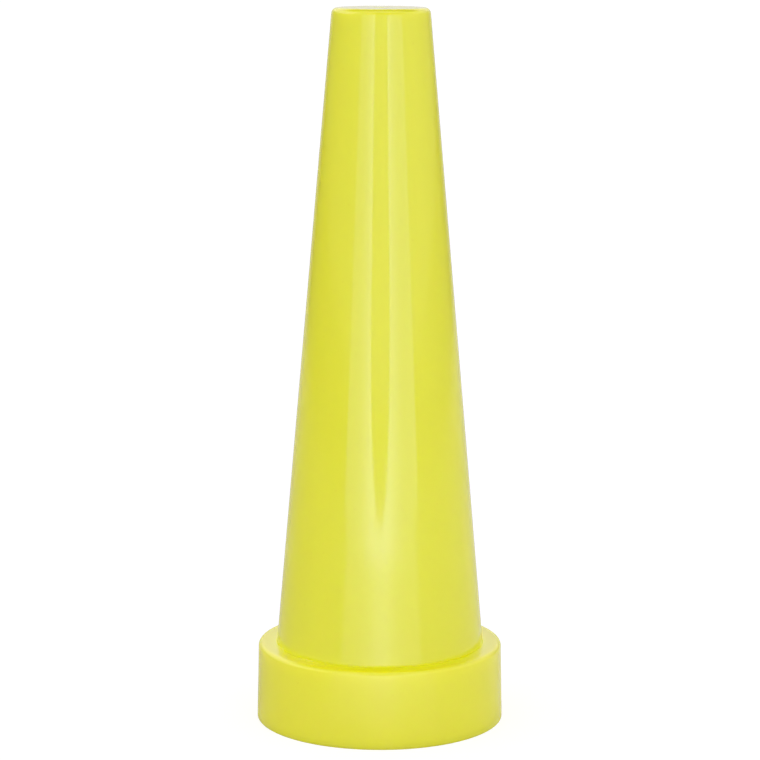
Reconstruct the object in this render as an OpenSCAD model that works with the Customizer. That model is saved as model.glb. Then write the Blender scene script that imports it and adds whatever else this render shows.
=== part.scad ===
// Slip-on light cone for a hand torch.
// A closed, light-diffusing taper stands in a stepped collar, and the collar's socket is pushed over a torch head.
// Origin: centre of the collar's rim, where the object stands. +Z points to the tip.

/* [Cone] */
// Height of the whole object
total_h = 165; // [150:1:200]
// Outside diameter of the cone where it leaves the collar
foot_d = 48.1; // [47:0.1:49]
// Outside diameter of the tip, before its edge is rounded
tip_d = 22.3; // [18:0.1:30]
// Wall thickness of the cone
cone_wall = 1.8; // [1.4:0.1:2.4]
// Radius of the edge round the tip
tip_round = 1.35; // [0.8:0.05:2.5]
// Radius inside the closed end
inner_tip_round = 0.8; // [0.4:0.1:2]
// Diameter of the shallow dimple that the moulding gate leaves in the tip
gate_d = 4; // [2:0.5:8]
// Depth of the gate dimple
gate_depth = 0.15; // [0.05:0.05:0.3]

/* [Collar] */
// Outside diameter of the collar at its rim
collar_d = 57.4; // [57:0.1:60]
// Height of the collar
collar_h = 18; // [17:0.5:24]
// Draft of the collar's side, in degrees
collar_draft = 1.2; // [0:0.1:2]
// Thickness of the shoulder over the cone's flange
shoulder_t = 2.4; // [1.6:0.1:3]
// Radius of the edge round the shoulder
shoulder_round = 1; // [0.4:0.1:1.4]
// Radius of the edge round the rim
rim_round = 0.3; // [0.2:0.1:1]
// Gap between the cone and the shoulder's hole
seam_gap = 0.02; // [0.01:0.01:0.1]
// Radius of the edge of the shoulder's hole
seam_round = 0.1; // [0.05:0.05:0.6]

/* [Socket] */
// Diameter that the sleeve grips, the torch head's size
socket_d = 50; // [49:0.1:50.2]
// Thickness of the grip sleeve
sleeve_t = 1; // [0.8:0.1:1.1]
// How far the lip at the mouth covers the end of the sleeve
mouth_lip = 0.6; // [0.3:0.1:0.6]
// Height of the lip at the mouth
mouth_lip_h = 1.2; // [1:0.1:1.6]
// Number of relief grooves in the sleeve
groove_count = 3; // [1:1:4]
// Radius of each relief groove
groove_r = 0.45; // [0.3:0.05:0.5]
// Thickness of the cone's foot flange
flange_t = 1.8; // [1.4:0.1:2.2]
// Gap between the flange and the wall of the collar
flange_gap = 0.1; // [0.05:0.05:0.3]
// Thickness of the stop ring, with its seat
stop_t = 1.8; // [1.4:0.1:2.2]
// Height of the raised seat that the torch head meets
seat_h = 0.4; // [0.2:0.1:0.6]

/* [Hidden] */
$fn = 180;

foot_r = foot_d / 2;
tip_r = tip_d / 2;
collar_r = collar_d / 2;
socket_r = socket_d / 2;
recess_r = socket_r + sleeve_t;            // bore of the collar behind the sleeve
taper = (foot_r - tip_r) / (total_h - collar_h);
lean = atan(taper);                        // angle of the cone's side from the vertical
shoulder_z = collar_h - shoulder_t;        // underside of the shoulder
flange_z = shoulder_z - flange_t;          // underside of the cone's flange
stop_z = flange_z - stop_t;                // the stop ring's seat, where the torch head stops
sleeve_z = stop_z + seat_h;                // top of the sleeve, round the seat
collar_top_r = collar_r - collar_h * tan(collar_draft);
wall_across = cone_wall / cos(lean);       // the wall measured level
throat_r = cone_r(flange_z) - wall_across; // clear opening under the cone
edge_break = 0.25;                         // chamfer at the stop ring's throat
lead_in = 0.6;                             // chamfer at the mouth and at the sleeve's end
seat_gap = 0.1;                            // gap between the seat and the sleeve's grip
overcut = 1;                               // how far a cutting shape runs past what it cuts

// Outside radius of the cone's side at height z
function cone_r(z) = foot_r - taper * (z - collar_h);

// Half outline of a solid taper from height z_low up to a flat top whose edge is rounded.
// r_low and r_top are the radii of the sharp corners, and side is the angle of its side from the vertical.
module taper_outline(r_low, z_low, r_top, z_top, edge, side) {
    reach = edge / tan(45 + side / 2);
    polygon([
        [0, z_low],
        [r_low, z_low],
        [r_top + reach * sin(side), z_top - reach * cos(side)],
        [r_top - reach, z_top],
        [0, z_top]
    ]);
    translate([r_top - reach, z_top - edge])
        circle(edge);
}

// Half outline of the gate dimple, a shallow cap of a large circle
module gate_outline() {
    bowl_r = (pow(gate_d / 2, 2) + pow(gate_depth, 2)) / (2 * gate_depth);
    translate([0, total_h - gate_depth + bowl_r])
        circle(bowl_r);
}

// Light-diffusing taper with a closed tip and a foot flange
module cone_shell() {
    cavity_z = total_h - cone_wall;
    color([0.90, 0.90, 0.16])
        rotate_extrude()
            difference() {
                union() {
                    taper_outline(cone_r(flange_z), flange_z, tip_r, total_h, tip_round, lean);
                    translate([0, flange_z])
                        square([recess_r - flange_gap, flange_t]);
                }
                taper_outline(
                    cone_r(flange_z - overcut) - wall_across, flange_z - overcut,
                    cone_r(cavity_z) - wall_across, cavity_z, inner_tip_round, lean
                );
                gate_outline();
            }
}

// Half outline of the collar's outside: drafted side, rounded rim and rounded shoulder
module collar_outline() {
    reach = shoulder_round / tan(45 + collar_draft / 2);
    rim_reach = rim_round / tan(45 - collar_draft / 2);
    polygon([
        [0, 0],
        [collar_r - rim_reach, 0],
        [collar_r - rim_reach * sin(collar_draft), rim_reach * cos(collar_draft)],
        [collar_top_r + reach * sin(collar_draft), collar_h - reach * cos(collar_draft)],
        [collar_top_r - reach, collar_h],
        [0, collar_h]
    ]);
    translate([collar_top_r - reach, collar_h - shoulder_round])
        circle(shoulder_round);
    translate([collar_r - rim_reach, rim_round])
        circle(rim_round);
}

// Half outline of what the collar leaves open: the mouth, the bore and the shoulder's hole
module socket_outline() {
    lip_r = recess_r - mouth_lip;
    hole_r = cone_r(collar_h) + seam_gap;
    polygon([
        [0, -overcut],
        [lip_r + lead_in + overcut, -overcut],
        [lip_r, lead_in],
        [lip_r, mouth_lip_h],
        [recess_r, mouth_lip_h],
        [recess_r, shoulder_z],
        [cone_r(shoulder_z) + seam_gap, shoulder_z],
        [hole_r, collar_h],
        [hole_r, collar_h + overcut],
        [0, collar_h + overcut]
    ]);
    // the rounded edge round the shoulder's hole
    difference() {
        translate([hole_r - overcut, collar_h - seam_round])
            square([seam_round + overcut, seam_round + overcut]);
        translate([hole_r + seam_round, collar_h - seam_round])
            circle(seam_round);
    }
}

// Stepped ring that carries the cone and goes over the torch head
module collar() {
    color([0.89, 0.88, 0.18])
        rotate_extrude()
            difference() {
                collar_outline();
                socket_outline();
            }
}

// Ring that holds the cone's flange up against the shoulder, with a raised seat that stops the torch head
module stop_ring() {
    seat_r = socket_r - seat_gap;
    color([0.86, 0.85, 0.22])
        rotate_extrude()
            polygon([
                [throat_r + edge_break, stop_z],
                [seat_r, stop_z],
                [seat_r, sleeve_z],
                [recess_r, sleeve_z],
                [recess_r, flange_z],
                [throat_r, flange_z],
                [throat_r, stop_z + edge_break]
            ]);
}

// Rubber sleeve that grips the torch head
module grip_sleeve() {
    grip_z = mouth_lip_h + lead_in;
    pitch = (stop_z - grip_z) / (groove_count + 1);
    color([0.16, 0.16, 0.17])
        rotate_extrude()
            difference() {
                polygon([
                    [socket_r, grip_z],
                    [socket_r + lead_in, mouth_lip_h],
                    [recess_r, mouth_lip_h],
                    [recess_r, sleeve_z],
                    [socket_r + seat_h, sleeve_z],
                    [socket_r, stop_z]
                ]);
                for (i = [1 : groove_count])
                    translate([socket_r, grip_z + i * pitch])
                        circle(groove_r);
            }
}

cone_shell();
collar();
stop_ring();
grip_sleeve();
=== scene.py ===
import math

import bmesh
import bpy
from mathutils import Matrix, Vector


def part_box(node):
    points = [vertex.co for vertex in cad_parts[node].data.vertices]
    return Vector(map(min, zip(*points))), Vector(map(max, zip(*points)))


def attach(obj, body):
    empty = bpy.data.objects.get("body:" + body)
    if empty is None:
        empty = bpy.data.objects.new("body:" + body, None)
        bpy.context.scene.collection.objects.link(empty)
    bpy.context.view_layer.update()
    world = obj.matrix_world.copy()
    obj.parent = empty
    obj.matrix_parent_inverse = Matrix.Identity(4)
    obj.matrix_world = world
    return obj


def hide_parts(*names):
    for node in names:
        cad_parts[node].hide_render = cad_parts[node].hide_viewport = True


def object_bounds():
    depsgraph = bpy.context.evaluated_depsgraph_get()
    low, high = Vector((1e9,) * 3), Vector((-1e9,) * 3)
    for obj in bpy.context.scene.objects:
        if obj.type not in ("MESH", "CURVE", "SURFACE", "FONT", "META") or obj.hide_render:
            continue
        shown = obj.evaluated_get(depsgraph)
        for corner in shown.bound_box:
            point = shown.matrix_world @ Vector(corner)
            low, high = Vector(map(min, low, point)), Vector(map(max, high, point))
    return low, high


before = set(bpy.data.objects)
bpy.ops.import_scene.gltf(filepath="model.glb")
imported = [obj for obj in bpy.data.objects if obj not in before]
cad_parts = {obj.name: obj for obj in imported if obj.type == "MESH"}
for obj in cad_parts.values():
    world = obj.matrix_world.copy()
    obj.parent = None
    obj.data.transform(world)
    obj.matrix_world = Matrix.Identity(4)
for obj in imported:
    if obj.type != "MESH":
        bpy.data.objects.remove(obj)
cad_low, cad_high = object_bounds()

MM = 0.001
TURN = 2 * math.pi
WHITE = (1.0, 1.0, 1.0)


# ---------------------------------------------------------------------------------------------
# Sizes, read off the fixed CAD frame
# ---------------------------------------------------------------------------------------------

def first_hit(node, start, direction):
    """Where a ray first meets a CAD node's surface."""
    hit, place, _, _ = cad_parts[node].ray_cast(Vector(start), Vector(direction))
    assert hit, f"no ray meets {node}"
    return place


def outer_radius(node, z):
    """Radius of a CAD node's outside at height z."""
    return first_hit(node, (2 * cad_high.z, 0, z), (-1, 0, 0)).x


def inner_radius(node, z):
    """Radius of a CAD node's clear opening at height z."""
    return first_hit(node, (0, 0, z), (1, 0, 0)).x


# How far past an edge a ray is sent in
PAST = 0.2 * MM

TOTAL_H = cad_high.z
COLLAR_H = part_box("collar")[1].z
FLANGE_Z, FLANGE_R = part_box("cone_shell")[0].z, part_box("cone_shell")[1].x
STOP_Z, RECESS_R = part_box("stop_ring")[0].z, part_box("stop_ring")[1].x
SLEEVE_LOW, SLEEVE_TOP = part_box("grip_sleeve")[0].z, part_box("grip_sleeve")[1].z

# The cone
LOW_Z, HIGH_Z = COLLAR_H + 2 * MM, 0.9 * TOTAL_H
LOW_R, HIGH_R = outer_radius("cone_shell", LOW_Z), outer_radius("cone_shell", HIGH_Z)
TAPER = (LOW_R - HIGH_R) / (HIGH_Z - LOW_Z)
FOOT_R = LOW_R + TAPER * (LOW_Z - COLLAR_H)
LEAN = math.degrees(math.atan(TAPER))
CONE_WALL = HIGH_R - inner_radius("cone_shell", HIGH_Z)
FLANGE_TOP = first_hit("cone_shell", (FLANGE_R - PAST, 0, COLLAR_H), (0, 0, -1)).z
CAVITY_TOP = first_hit("cone_shell", (HIGH_R / 3, 0, TOTAL_H / 2), (0, 0, 1)).z
TIP_ROUND = 1.35 * MM
INNER_TIP_ROUND = 0.8 * MM
GATE_R = 2.0 * MM
GATE_DEPTH = 0.15 * MM

# The collar
SIDE_LOW, SIDE_HIGH = 4 * MM, 14 * MM
SIDE_LOW_R, SIDE_HIGH_R = outer_radius("collar", SIDE_LOW), outer_radius("collar", SIDE_HIGH)
COLLAR_TAPER = (SIDE_LOW_R - SIDE_HIGH_R) / (SIDE_HIGH - SIDE_LOW)
RIM_R = SIDE_LOW_R + COLLAR_TAPER * SIDE_LOW
LIP_R = inner_radius("collar", SLEEVE_LOW - PAST)
SEAM_GAP = 0.02 * MM
HOLE_R = FOOT_R + SEAM_GAP
SHOULDER_ROUND = 1.0 * MM
RIM_ROUND = 0.3 * MM
SEAM_ROUND = 0.1 * MM
LEAD_IN = 0.6 * MM

# The stop ring and the sleeve
SEAT_R = outer_radius("stop_ring", STOP_Z + PAST)
THROAT_R = inner_radius("stop_ring", FLANGE_Z - PAST)
THROAT_EDGE = 0.25 * MM
SOCKET_R = inner_radius("grip_sleeve", STOP_Z - PAST)
GROOVES = 3
GROOVE_R = 0.45 * MM


def cone_r(z):
    """Outside radius of the cone's side at height z."""
    return FOOT_R - TAPER * (z - COLLAR_H)


# ---------------------------------------------------------------------------------------------
# Meshes
# ---------------------------------------------------------------------------------------------

# Steps round the axis
SEGMENTS = 256
# Steps along the round edges: round the seam, the small ones, and round the tip and the shoulder
SEAM_STEPS, ARC_STEPS, EDGE_STEPS = 6, 8, 10
# Steps up the cone's wall and the collar's side
WALL_STEPS, SIDE_STEPS = 60, 16
# Steps across the tip, its dimple, the closed end inside and the shoulder
TIP_STEPS, DIMPLE_STEPS, CEILING_STEPS, SHOULDER_STEPS = 8, 6, 6, 4
# Edges that turn by more than this stay sharp
SHARP_DEGREES = 40


def arc(centre, radius, start, end, steps=ARC_STEPS):
    """Points on an arc in the (r, z) half plane, from angle start to angle end in degrees."""
    angles = [math.radians(start + (end - start) * i / steps) for i in range(steps + 1)]
    return [(centre[0] + radius * math.cos(a), centre[1] + radius * math.sin(a)) for a in angles]


def run(start, end, steps):
    """Points along a straight stretch, without its two ends."""
    return [
        (start[0] + (end[0] - start[0]) * i / steps, start[1] + (end[1] - start[1]) * i / steps)
        for i in range(1, steps)
    ]


def add_mesh(name, bm):
    """Puts a finished bmesh in the scene as an object."""
    mesh = bpy.data.meshes.new(name)
    bm.to_mesh(mesh)
    bm.free()
    item = bpy.data.objects.new(name, mesh)
    bpy.context.scene.collection.objects.link(item)
    return item


def lathe(name, outline):
    """A closed turned body. outline is a closed loop of (r, z) points; points on the axis become poles."""
    bm = bmesh.new()
    rings = []
    for r, z in outline:
        if r == 0:
            rings.append([bm.verts.new((0, 0, z))] * SEGMENTS)
            continue
        angles = [TURN * i / SEGMENTS for i in range(SEGMENTS)]
        rings.append([bm.verts.new((r * math.cos(a), r * math.sin(a), z)) for a in angles])
    for here, there in zip(rings, rings[1:] + rings[:1]):
        both_on_axis = here[0] == here[1] and there[0] == there[1]
        if both_on_axis:
            continue
        for i in range(SEGMENTS):
            j = (i + 1) % SEGMENTS
            corners = [here[i], here[j], there[j], there[i]]
            bm.faces.new(list(dict.fromkeys(corners)))
    bmesh.ops.recalc_face_normals(bm, faces=bm.faces)
    for face in bm.faces:
        face.smooth = True
    return add_mesh(name, bm)


def finish_piece(piece, node, material):
    """Gives a piece its material and edges, hides its CAD node and puts the piece under the root body."""
    piece.data.materials.append(material)
    piece.data.set_sharp_from_angle(angle=math.radians(SHARP_DEGREES))
    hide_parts(node)
    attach(piece, "root")


# ---------------------------------------------------------------------------------------------
# Material parts
# ---------------------------------------------------------------------------------------------

def new_material(name, **values):
    """A material with one Principled shader. values go straight on the shader's own sockets."""
    material = bpy.data.materials.new(name)
    material.use_nodes = True
    shader = material.node_tree.nodes["Principled BSDF"]
    for socket, value in values.items():
        shader.inputs[socket.replace("_", " ")].default_value = value
    return material, material.node_tree, shader


def math_node(tree, operation, *values):
    """A Math node. Each value is a number or another node's output."""
    node = tree.nodes.new("ShaderNodeMath")
    node.operation = operation
    for slot, value in zip(node.inputs, values):
        if isinstance(value, (int, float)):
            slot.default_value = value
        else:
            tree.links.new(value, slot)
    return node.outputs[0]


def add_values(tree, *values):
    """The sum of two or more values."""
    total = values[0]
    for value in values[1:]:
        total = math_node(tree, "ADD", total, value)
    return total


def scaled(tree, value, factor):
    """A value times a number or another value."""
    return math_node(tree, "MULTIPLY", value, factor)


def squared(tree, value):
    """A value times itself."""
    return math_node(tree, "POWER", value, 2.0)


def hypotenuse(tree, a, b):
    """The distance that two steps at right angles make together."""
    return math_node(tree, "SQRT", add_values(tree, squared(tree, a), squared(tree, b)))


def smooth_step(tree, value, start, end):
    """Rises smoothly from 0 at start to 1 at end. It falls if end comes before start."""
    node = tree.nodes.new("ShaderNodeMapRange")
    node.interpolation_type = "SMOOTHSTEP"
    node.inputs["From Min"].default_value = start
    node.inputs["From Max"].default_value = end
    tree.links.new(value, node.inputs["Value"])
    return node.outputs["Result"]


# Noise lies round its middle value, and mostly between the other two
NOISE_LOW, NOISE_MIDDLE, NOISE_HIGH = 0.25, 0.5, 0.75


def spread(tree, noise, low, high):
    """Maps noise to the range low to high."""
    node = tree.nodes.new("ShaderNodeMapRange")
    node.inputs["From Min"].default_value = NOISE_LOW
    node.inputs["From Max"].default_value = NOISE_HIGH
    node.inputs["To Min"].default_value = low
    node.inputs["To Max"].default_value = high
    tree.links.new(noise, node.inputs["Value"])
    return node.outputs["Result"]


def mix_colours(tree, factor, first, second):
    """Mixes two colours, each a triple or another node's output."""
    node = tree.nodes.new("ShaderNodeMix")
    node.data_type = "RGBA"
    tree.links.new(factor, node.inputs["Factor"])
    for slot, colour in (("A", first), ("B", second)):
        if isinstance(colour, tuple):
            node.inputs[slot].default_value = (*colour, 1)
        else:
            tree.links.new(colour, node.inputs[slot])
    return node.outputs["Result"]


def split_place(tree, output):
    """The x, y and z of a Texture Coordinate output."""
    place = tree.nodes.new("ShaderNodeTexCoord")
    split = tree.nodes.new("ShaderNodeSeparateXYZ")
    tree.links.new(place.outputs[output], split.inputs[0])
    return split.outputs["X"], split.outputs["Y"], split.outputs["Z"]


def place_parts(tree):
    """The place on the piece, as x, y, z and the distance from the axis."""
    x, y, z = split_place(tree, "Object")
    return x, y, z, hypotenuse(tree, x, y)


def noise_at(tree, place, scale, detail, roughness=0.5):
    """Noise at a place, in cycles per metre."""
    texture = tree.nodes.new("ShaderNodeTexNoise")
    texture.inputs["Scale"].default_value = scale
    texture.inputs["Detail"].default_value = detail
    texture.inputs["Roughness"].default_value = roughness
    tree.links.new(place, texture.inputs["Vector"])
    return texture.outputs["Fac"]


def noise_texture(tree, scale, detail=2, roughness=0.5, stretch=(1, 1, 1)):
    """Noise in the piece's own space. A small stretch draws it out along that axis."""
    place = tree.nodes.new("ShaderNodeTexCoord")
    mapping = tree.nodes.new("ShaderNodeMapping")
    mapping.inputs["Scale"].default_value = stretch
    tree.links.new(place.outputs["Object"], mapping.inputs["Vector"])
    return noise_at(tree, mapping.outputs["Vector"], scale, detail, roughness)


def ring_marks(tree, scale):
    """Noise that stays the same all the way round the axis, such as the marks of a turned mould."""
    _, _, z, radius = place_parts(tree)
    join = tree.nodes.new("ShaderNodeCombineXYZ")
    tree.links.new(radius, join.inputs["X"])
    tree.links.new(z, join.inputs["Z"])
    return noise_at(tree, join.outputs["Vector"], scale, detail=2)


# Where a speck starts and where it is full, as shares of its cell
SPECK_EDGE = (0.30, 0.10)


def specks(tree, scale, share):
    """Small round spots: 1 in a spot's middle, 0 between them. share is the part of cells with a spot."""
    place = tree.nodes.new("ShaderNodeTexCoord")
    cells = tree.nodes.new("ShaderNodeTexVoronoi")
    cells.inputs["Scale"].default_value = scale
    tree.links.new(place.outputs["Object"], cells.inputs["Vector"])
    chosen = tree.nodes.new("ShaderNodeSeparateColor")
    tree.links.new(cells.outputs["Color"], chosen.inputs[0])
    spot = smooth_step(tree, cells.outputs["Distance"], *SPECK_EDGE)
    return scaled(tree, spot, math_node(tree, "LESS_THAN", chosen.outputs[0], share))


# A scratch runs where its noise passes through the middle value, this near on either side
HAIRLINE_WIDTH = 0.012
# How large the scratched patches are, in cycles per metre, and how softly they end
PATCH_SCALE = 60
PATCH_EDGE = 0.05


def hairlines(tree, scale, stretch, share):
    """Fine broken scratches: 1 on a line, 0 beside it. share is the part of the surface that has them."""
    field = noise_texture(tree, scale, roughness=0.6, stretch=stretch)
    from_middle = math_node(tree, "ABSOLUTE", math_node(tree, "SUBTRACT", field, NOISE_MIDDLE))
    line = smooth_step(tree, from_middle, HAIRLINE_WIDTH, 0.0)
    bare = 1.0 - share
    patch = smooth_step(tree, noise_texture(tree, PATCH_SCALE), bare, bare + PATCH_EDGE)
    return scaled(tree, line, patch)


def engrave(tree, shader, *layers):
    """Puts relief on the surface. Each layer is a 0 to 1 height and its depth in metres."""
    normal = None
    for height, depth in layers:
        node = tree.nodes.new("ShaderNodeBump")
        node.inputs["Distance"].default_value = depth
        tree.links.new(height, node.inputs["Height"])
        if normal:
            tree.links.new(normal, node.inputs["Normal"])
        normal = node.outputs["Normal"]
    tree.links.new(normal, shader.inputs["Normal"])


# Painted glow at the seam between the cone and the collar: an emission that stands for light travelling
# inside the pale plastic and coming out there, and lifts the shade in that corner
SEAM_PAINTED_GLOW = (0.120, 0.130, 0.0)
SEAM_PAINTED_GLOW_REACH = 1.0 * MM


def paint_seam_glow(tree, shader):
    """Paints a glow on the plastic by emission, less and less with the distance from the seam."""
    _, _, z, radius = place_parts(tree)
    aside = math_node(tree, "SUBTRACT", radius, FOOT_R)
    above = math_node(tree, "SUBTRACT", z, COLLAR_H)
    away = hypotenuse(tree, aside, above)
    near = math_node(tree, "EXPONENT", scaled(tree, away, -1 / SEAM_PAINTED_GLOW_REACH))
    shader.inputs["Emission Color"].default_value = (*SEAM_PAINTED_GLOW, 1)
    tree.links.new(near, shader.inputs["Emission Strength"])


# ---------------------------------------------------------------------------------------------
# The four materials
# ---------------------------------------------------------------------------------------------

# Colours in linear light, each pair for the two ends of a slow change over the surface
CONE_YELLOWS = (0.885, 0.848, 0.003), (0.915, 0.874, 0.005)
COLLAR_YELLOWS = (0.900, 0.848, 0.003), (0.925, 0.872, 0.005)
RING_YELLOWS = (0.66, 0.62, 0.03), (0.72, 0.68, 0.04)
RUBBER_GREYS = (0.020, 0.020, 0.022), (0.034, 0.034, 0.036)
PIGMENT = (0.80, 0.66, 0.002)
DUST = (0.16, 0.16, 0.15)

# The two outer pieces share a glossy surface over plastic that light goes into and comes out of again
OUTER_PLASTIC = {
    "IOR": 1.85,
    "Subsurface_Weight": 1.0,
    "Subsurface_Radius": (1.0, 0.9, 0.08),
    "Subsurface_Scale": 3 * MM,
}
PIGMENT_CELLS = 700
PIGMENT_SHARE = 0.06
PIGMENT_WEIGHT = 0.12


def moulded_colour(tree, shader, flow, yellows):
    """Yellow that changes slowly with the flow of the melt, with a few faint specks of pigment."""
    colour = mix_colours(tree, spread(tree, flow, 0, 1), *yellows)
    pigment = scaled(tree, specks(tree, PIGMENT_CELLS, PIGMENT_SHARE), PIGMENT_WEIGHT)
    tree.links.new(mix_colours(tree, pigment, colour, PIGMENT), shader.inputs["Base Color"])


def cone_material():
    """Polished light-diffusing plastic: flow marks, faint draw lines and fine hairlines under a gloss."""
    material, tree, shader = new_material("glossy_yellow_plastic", **OUTER_PLASTIC)
    moulded_colour(tree, shader, noise_texture(tree, scale=45, stretch=(1, 1, 0.25)), CONE_YELLOWS)
    smear = spread(tree, noise_texture(tree, scale=38, detail=3, roughness=0.6), 0.045, 0.085)
    draw_lines = spread(tree, noise_texture(tree, scale=500, stretch=(1, 1, 0.01)), 0.0, 0.02)
    worn = hairlines(tree, scale=900, stretch=(1, 1, 0.035), share=0.52)
    roughness = add_values(tree, smear, draw_lines, scaled(tree, worn, 0.10))
    tree.links.new(roughness, shader.inputs["Roughness"])
    waves = noise_texture(tree, scale=80, detail=1.5, roughness=0.4, stretch=(1, 1, 0.35))
    scores = scaled(tree, worn, -1.0)
    engrave(tree, shader, (waves, 0.030 * MM), (scores, 0.0012 * MM))
    # Painted glow: emission near the seam with the collar brightens the corner there
    paint_seam_glow(tree, shader)
    return material


# The rubbing at the collar's rim starts at this height. At the shoulder it starts at the first of two
# depths under the collar's top, and is full at the second.
RUBBED_RIM = 2.0 * MM
RUBBED_SHOULDER = (1.4 * MM, 0.6 * MM)


def collar_material():
    """Satin yellow plastic: a fine even grain from the mould, rubbed at the rim and the shoulder."""
    material, tree, shader = new_material("satin_yellow_plastic", **OUTER_PLASTIC)
    moulded_colour(tree, shader, noise_texture(tree, scale=60), COLLAR_YELLOWS)
    _, _, z = split_place(tree, "Object")
    at_rim = smooth_step(tree, z, RUBBED_RIM, 0.0)
    at_shoulder = smooth_step(tree, z, *(COLLAR_H - down for down in RUBBED_SHOULDER))
    blotches = spread(tree, noise_texture(tree, scale=220, detail=4, roughness=0.65), 0.0, 0.10)
    rubbed = scaled(tree, add_values(tree, at_rim, at_shoulder), blotches)
    satin = spread(tree, noise_texture(tree, scale=150, detail=3, roughness=0.6), 0.105, 0.145)
    worn = hairlines(tree, scale=1100, stretch=(0.3, 0.3, 1), share=0.50)
    roughness = add_values(tree, satin, rubbed, scaled(tree, worn, 0.08))
    tree.links.new(roughness, shader.inputs["Roughness"])
    waves = noise_texture(tree, scale=110, detail=1, roughness=0.4)
    grain = noise_texture(tree, scale=2800)
    scores = scaled(tree, worn, -1.0)
    engrave(tree, shader, (waves, 0.020 * MM), (grain, 0.0025 * MM), (scores, 0.0015 * MM))
    # Painted glow: emission near the seam with the cone brightens the corner there
    paint_seam_glow(tree, shader)
    return material


def ring_material():
    """Plain moulded yellow plastic, with the turning marks of its mould."""
    material, tree, shader = new_material("plain_yellow_plastic", IOR=1.5)
    flow = spread(tree, noise_texture(tree, scale=90), 0, 1)
    tree.links.new(mix_colours(tree, flow, *RING_YELLOWS), shader.inputs["Base Color"])
    turning = ring_marks(tree, scale=5000)
    grain = noise_texture(tree, scale=2200, detail=3)
    roughness = add_values(tree, spread(tree, grain, 0.32, 0.40), spread(tree, turning, 0.0, 0.08))
    tree.links.new(roughness, shader.inputs["Roughness"])
    engrave(tree, shader, (turning, 0.006 * MM), (grain, 0.004 * MM))
    return material


def rubber_material():
    """Dark grey rubber with a fine matt skin, faint moulding rings and a little pale dust."""
    material, tree, shader = new_material("grip_rubber", IOR=1.5)
    shade = spread(tree, noise_texture(tree, scale=140, detail=3), 0, 1)
    patches = spread(tree, noise_texture(tree, scale=90, detail=3), 0.0, 0.8)
    dust = scaled(tree, specks(tree, scale=2600, share=0.10), patches)
    colour = mix_colours(tree, dust, mix_colours(tree, shade, *RUBBER_GREYS), DUST)
    tree.links.new(colour, shader.inputs["Base Color"])
    skin = noise_texture(tree, scale=1800, detail=4, roughness=0.6)
    rings = ring_marks(tree, scale=3500)
    roughness = add_values(tree, spread(tree, skin, 0.58, 0.72), scaled(tree, dust, 0.15))
    tree.links.new(roughness, shader.inputs["Roughness"])
    engrave(tree, shader, (skin, 0.020 * MM), (rings, 0.010 * MM))
    return material


# ---------------------------------------------------------------------------------------------
# The four pieces
# ---------------------------------------------------------------------------------------------

def tip_corner(r_top, z_top, edge):
    """The rounded corner between the cone's leaning side and its level end, from the side to the end."""
    reach = edge / math.tan(math.radians(45 + LEAN / 2))
    return arc((r_top - reach, z_top - edge), edge, LEAN, 90, EDGE_STEPS)


def make_cone_shell():
    """The taper with its closed tip, the gate's dimple and the foot flange."""
    outside_tip = tip_corner(cone_r(TOTAL_H), TOTAL_H, TIP_ROUND)
    inside_tip = tip_corner(cone_r(CAVITY_TOP) - CONE_WALL, CAVITY_TOP, INNER_TIP_ROUND)
    foot = (cone_r(FLANGE_TOP), FLANGE_TOP)
    throat = (cone_r(FLANGE_Z) - CONE_WALL, FLANGE_Z)
    shares = [1 - i / DIMPLE_STEPS for i in range(DIMPLE_STEPS + 1)]
    dimple = [(GATE_R * s, TOTAL_H - GATE_DEPTH * (1 - s ** 2)) for s in shares]
    outline = (
        [throat, (FLANGE_R, FLANGE_Z), (FLANGE_R, FLANGE_TOP), foot]
        + run(foot, outside_tip[0], WALL_STEPS)
        + outside_tip
        + run(outside_tip[-1], dimple[0], TIP_STEPS)
        + dimple
        + [(0, CAVITY_TOP)]
        + run((0, CAVITY_TOP), inside_tip[-1], CEILING_STEPS)
        + inside_tip[::-1]
        + run(inside_tip[0], throat, WALL_STEPS)
    )
    finish_piece(lathe("cone_shell_visual", outline), "cone_shell", cone_material())


def make_collar():
    """The stepped ring, with the lip at its mouth and the hole that the cone comes out of."""
    draft = math.degrees(math.atan(COLLAR_TAPER))
    top_r = RIM_R - COLLAR_H * COLLAR_TAPER
    reach = SHOULDER_ROUND / math.tan(math.radians(45 + draft / 2))
    rim_reach = RIM_ROUND / math.tan(math.radians(45 - draft / 2))
    rim = arc((RIM_R - rim_reach, RIM_ROUND), RIM_ROUND, -90, draft)
    shoulder = arc((top_r - reach, COLLAR_H - SHOULDER_ROUND), SHOULDER_ROUND, draft, 90, EDGE_STEPS)
    seam = arc((HOLE_R + SEAM_ROUND, COLLAR_H - SEAM_ROUND), SEAM_ROUND, 90, 180, SEAM_STEPS)
    hole_under = (HOLE_R + TAPER * (COLLAR_H - FLANGE_TOP), FLANGE_TOP)
    outline = (
        [(LIP_R + LEAD_IN, 0)]
        + rim
        + run(rim[-1], shoulder[0], SIDE_STEPS)
        + shoulder
        + run(shoulder[-1], seam[0], SHOULDER_STEPS)
        + seam
        + [hole_under, (RECESS_R, FLANGE_TOP), (RECESS_R, SLEEVE_LOW), (LIP_R, SLEEVE_LOW), (LIP_R, LEAD_IN)]
    )
    finish_piece(lathe("collar_visual", outline), "collar", collar_material())


def make_stop_ring():
    """The ring under the cone's flange, with its raised seat."""
    outline = [
        (THROAT_R + THROAT_EDGE, STOP_Z),
        (SEAT_R, STOP_Z),
        (SEAT_R, SLEEVE_TOP),
        (RECESS_R, SLEEVE_TOP),
        (RECESS_R, FLANGE_Z),
        (THROAT_R, FLANGE_Z),
        (THROAT_R, STOP_Z + THROAT_EDGE),
    ]
    finish_piece(lathe("stop_ring_visual", outline), "stop_ring", ring_material())


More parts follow.
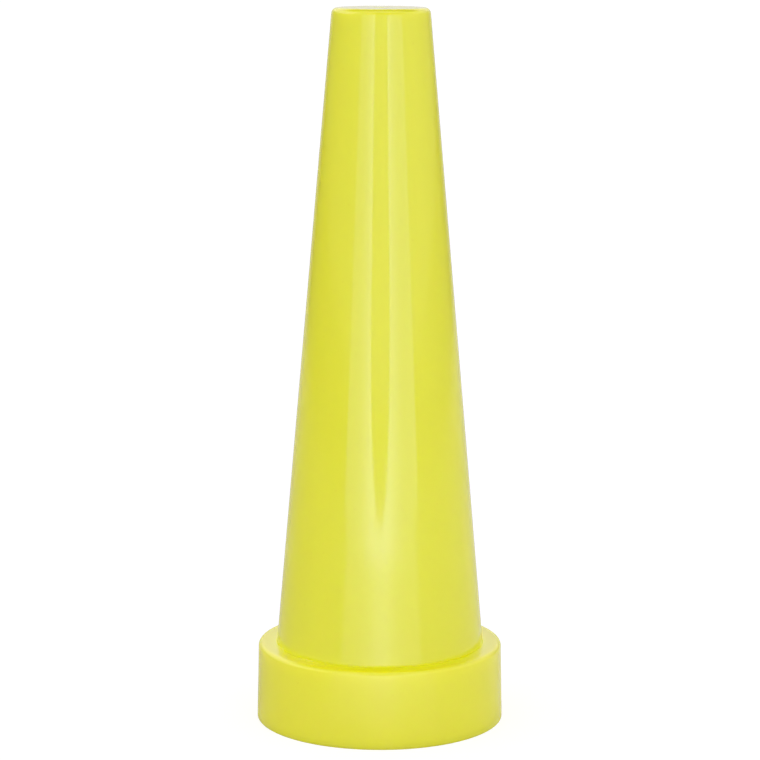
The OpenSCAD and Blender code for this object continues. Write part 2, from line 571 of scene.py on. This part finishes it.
def make_grip_sleeve():
    """The rubber lining, with its relief grooves."""
    grip_low = SLEEVE_LOW + LEAD_IN
    pitch = (STOP_Z - grip_low) / (GROOVES + 1)
    inside = [(SOCKET_R, grip_low)]
    for i in range(1, GROOVES + 1):
        inside += arc((SOCKET_R, grip_low + i * pitch), GROOVE_R, -90, 90)
    relief_r = SOCKET_R + SLEEVE_TOP - STOP_Z
    outline = (
        [(SOCKET_R + LEAD_IN, SLEEVE_LOW)]
        + inside
        + [(SOCKET_R, STOP_Z), (relief_r, SLEEVE_TOP), (RECESS_R, SLEEVE_TOP), (RECESS_R, SLEEVE_LOW)]
    )
    finish_piece(lathe("grip_sleeve_visual", outline), "grip_sleeve", rubber_material())


# ---------------------------------------------------------------------------------------------
# Stage. Angles are compass angles in degrees: 0 is towards the camera, 90 is to its right.
# ---------------------------------------------------------------------------------------------

COOL = (0.73, 0.77, 1.0)
WARM = (1.0, 0.95, 0.88)

# Tone of the surroundings near the horizon. The floor far from the object takes the same tone as its colour,
# as painted light and shade: lighter and darker by compass direction
HORIZON = (
    (-180, 0.80), (-160, 0.70), (-140, 0.30), (-115, 0.45), (-75, 0.65), (-35, 0.80), (0, 1.0),
    (35, 0.95), (75, 0.90), (100, 0.75), (115, 0.65), (140, 0.40), (160, 0.70), (180, 0.80),
)
# Tone of the surroundings half way up
HALF_WAY = (
    (-180, 1.30), (-135, 1.50), (-90, 1.85), (-45, 0.85), (0, 0.32),
    (45, 0.65), (90, 1.20), (135, 1.20), (180, 1.30),
)
# Tone overhead, behind the object and in front of it, and the two values of the direction's y between
# which one gives way to the other
OVERHEAD_BEHIND, OVERHEAD_IN_FRONT = 0.20, 1.10
OVERHEAD_TURN = (0.40, -0.60)
# Each band gives way to the next between two values of the sine of the elevation
HALF_WAY_FROM = (0.16, 0.34)
OVERHEAD_FROM = (0.58, 0.80)

# Tone of the floor close to the object: painted light and shade, lighter and darker by compass direction
FLOOR_NEAR_PAINTED_TONE = (
    (-180, 0.80), (-140, 0.70), (-115, 0.65), (-75, 0.75), (-40, 0.85), (0, 0.95), (115, 0.95), (180, 0.80),
)
# Half the floor's width, and the distances from the axis between which the floor close to the object gives
# way to the far floor, in metres
FLOOR_HALF = 20.0
FLOOR_EDGE = (0.75, 1.20)
# What the camera sees of the floor: a light of its own, and a part of the light that falls on it
FLOOR_GLOW = 0.80
FLOOR_SHADE = 0.32

# A pool of light on the floor in front. The object sees it, and the camera doesn't.
POOL = (
    (-42, 0.0), (-38, 0.35), (-28, 0.38), (-13, 0.60), (-2, 1.0),
    (6, 1.0), (16, 0.60), (30, 0.38), (42, 0.35), (46, 0.0),
)
# Distances from the axis between which the pool begins and ends, in metres
POOL_FROM = (0.02, 0.14)
POOL_TO = (0.80, 1.20)

# A broad soft light in front, with an upright slit that the lens looks through. Sizes are in metres.
PANEL_Y = -0.70
PANEL_LEFT, PANEL_RIGHT = 0.69, 0.80
PANEL_TOP = 0.34
# Its light in the middle without the spot, what a metre to the right adds, and the spot's light and width
PANEL_EVEN = 1.35
PANEL_TO_THE_RIGHT = 0.18
PANEL_SPOT = 1.50
PANEL_SPOT_WIDTH = 0.255
# The slit's half width, the lowest point of its round foot, and the height where the foot ends
SLIT_HALF_WIDTH = 0.175
SLIT_LOW = 0.018
SLIT_ROUND_TOP = 0.130
SLIT_STEPS = 14


def compass_ramp(tree, x, y, stops, interpolation="EASE", tint=WHITE):
    """A tone that depends on the compass direction of (x, y), from stops of (degrees, tone)."""
    compass = math_node(tree, "ARCTAN2", x, scaled(tree, y, -1.0))
    around = math_node(tree, "MULTIPLY_ADD", compass, 1 / TURN, 0.5)
    ramp = tree.nodes.new("ShaderNodeValToRGB")
    ramp.color_ramp.interpolation = interpolation
    elements = ramp.color_ramp.elements
    while len(elements) < len(stops):
        elements.new(0.5)
    for element, (angle, tone) in zip(elements, stops):
        element.position = angle / 360 + 0.5
        element.color = (*(tone * part for part in tint), 1)
    tree.links.new(around, ramp.inputs[0])
    return ramp.outputs["Color"]


def grey(tone):
    """A colour with no hue."""
    return (tone, tone, tone)


def set_stage_material(item, name, build):
    """Gives a stage object the surface that build makes."""
    material = bpy.data.materials.new(name)
    material.use_nodes = True
    tree = material.node_tree
    tree.nodes.clear()
    out = tree.nodes.new("ShaderNodeOutputMaterial")
    tree.links.new(build(tree), out.inputs["Surface"])
    item.data.materials.append(material)


def floor_surface(tree):
    """Plain white to the camera. To the object, a pale floor with painted light and shade by compass
    direction, and a pool of light in front.
    """
    seen = tree.nodes.new("ShaderNodeLightPath").outputs["Is Camera Ray"]
    x, y, _, away = place_parts(tree)
    # The floor's colour as the object sees it: painted light and shade by compass direction
    near = compass_ramp(tree, x, y, FLOOR_NEAR_PAINTED_TONE)
    far = compass_ramp(tree, x, y, HORIZON)
    tone = mix_colours(tree, smooth_step(tree, away, *FLOOR_EDGE), near, far)
    diffuse = tree.nodes.new("ShaderNodeBsdfDiffuse")
    tree.links.new(mix_colours(tree, seen, tone, grey(FLOOR_SHADE)), diffuse.inputs["Color"])
    starts = smooth_step(tree, away, *POOL_FROM)
    ends = math_node(tree, "SUBTRACT", 1.0, smooth_step(tree, away, *POOL_TO))
    pool = scaled(tree, scaled(tree, starts, ends), compass_ramp(tree, x, y, POOL, "LINEAR"))
    unseen = math_node(tree, "SUBTRACT", 1.0, seen)
    strength = add_values(tree, scaled(tree, pool, unseen), scaled(tree, seen, FLOOR_GLOW))
    glow = tree.nodes.new("ShaderNodeEmission")
    tree.links.new(mix_colours(tree, seen, COOL, WHITE), glow.inputs["Color"])
    tree.links.new(strength, glow.inputs["Strength"])
    both = tree.nodes.new("ShaderNodeAddShader")
    tree.links.new(diffuse.outputs[0], both.inputs[0])
    tree.links.new(glow.outputs[0], both.inputs[1])
    return both.outputs[0]


def make_floor():
    """A wide level floor under the object."""
    bm = bmesh.new()
    bmesh.ops.create_grid(bm, x_segments=1, y_segments=1, size=FLOOR_HALF)
    floor = add_mesh("floor", bm)
    set_stage_material(floor, "pale_floor", floor_surface)


def panel_surface(tree):
    """An even light that grows to the right, with a brighter spot in the middle."""
    x, _, _ = split_place(tree, "Object")
    across = scaled(tree, x, 1 / PANEL_SPOT_WIDTH)
    spot = math_node(tree, "EXPONENT", scaled(tree, squared(tree, across), -1.0))
    even = math_node(tree, "MULTIPLY_ADD", x, PANEL_TO_THE_RIGHT, PANEL_EVEN)
    glow = tree.nodes.new("ShaderNodeEmission")
    glow.inputs["Color"].default_value = (*COOL, 1)
    tree.links.new(add_values(tree, scaled(tree, spot, PANEL_SPOT), even), glow.inputs["Strength"])
    return glow.outputs[0]


def make_front_panel():
    """The two halves of the panel, left and right of the slit. The camera doesn't see them."""
    quarter = [math.pi / 2 * i / SLIT_STEPS for i in range(SLIT_STEPS + 1)]
    rise = SLIT_ROUND_TOP - SLIT_LOW
    slit = [(SLIT_HALF_WIDTH * math.sin(a), SLIT_ROUND_TOP - rise * math.cos(a)) for a in quarter]
    bm = bmesh.new()
    for side, reach in ((-1, PANEL_LEFT), (1, PANEL_RIGHT)):
        outline = [(0, 0)] + slit + [(SLIT_HALF_WIDTH, PANEL_TOP), (reach, PANEL_TOP), (reach, 0)]
        bm.faces.new([bm.verts.new((side * x, PANEL_Y, z)) for x, z in outline])
    panel = add_mesh("front_panel", bm)
    panel.visible_camera = False
    set_stage_material(panel, "panel_glow", panel_surface)


def make_world():
    """Soft pale surroundings for the object, and plain white for the camera."""
    world = bpy.data.worlds.new("studio")
    bpy.context.scene.world = world
    world.use_nodes = True
    tree = world.node_tree
    tree.nodes.clear()
    x, y, z = split_place(tree, "Generated")
    low_band = compass_ramp(tree, x, y, HORIZON)
    middle_band = compass_ramp(tree, x, y, HALF_WAY, tint=WARM)
    sky = mix_colours(tree, smooth_step(tree, z, *HALF_WAY_FROM), low_band, middle_band)
    to_the_front = smooth_step(tree, y, *OVERHEAD_TURN)
    top_band = mix_colours(tree, to_the_front, grey(OVERHEAD_BEHIND), grey(OVERHEAD_IN_FRONT))
    sky = mix_colours(tree, smooth_step(tree, z, *OVERHEAD_FROM), sky, top_band)
    seen = tree.nodes.new("ShaderNodeLightPath").outputs["Is Camera Ray"]
    background = tree.nodes.new("ShaderNodeBackground")
    tree.links.new(mix_colours(tree, seen, sky, WHITE), background.inputs["Color"])
    out = tree.nodes.new("ShaderNodeOutputWorld")
    tree.links.new(background.outputs[0], out.inputs["Surface"])


# The camera stands straight in front and a little above, and looks down on the object
CAMERA_AWAY = 3.860 * TOTAL_H
CAMERA_UP = 1.150 * TOTAL_H
CAMERA_PITCH = math.radians(9.799)
CAMERA_YAW = math.radians(0.007)
CAMERA_ROLL = math.radians(0.12)
CAMERA_FIELD = math.radians(15.443)
CAMERA_CLIP = (0.01, 100)


def make_camera():
    """The photograph's camera."""
    data = bpy.data.cameras.new("camera")
    data.angle = CAMERA_FIELD
    data.clip_start, data.clip_end = CAMERA_CLIP
    camera = bpy.data.objects.new("camera", data)
    bpy.context.scene.collection.objects.link(camera)
    camera.location = (0, -CAMERA_AWAY, CAMERA_UP)
    level = Matrix.Rotation(CAMERA_YAW, 3, "Z") @ Matrix.Rotation(math.pi / 2 - CAMERA_PITCH, 3, "X")
    aim = level @ Matrix.Rotation(CAMERA_ROLL, 3, "Z")
    camera.rotation_euler = aim.to_euler()
    bpy.context.scene.camera = camera


# Light goes on a long way inside a pale plastic and in the corner between two pieces
DIFFUSE_BOUNCES = 12

make_camera()
make_world()
make_floor()
make_front_panel()
make_cone_shell()
make_collar()
make_stop_ring()
make_grip_sleeve()

bpy.context.scene.view_settings.view_transform = "Standard"
bpy.context.scene.cycles.diffuse_bounces = DIFFUSE_BOUNCES
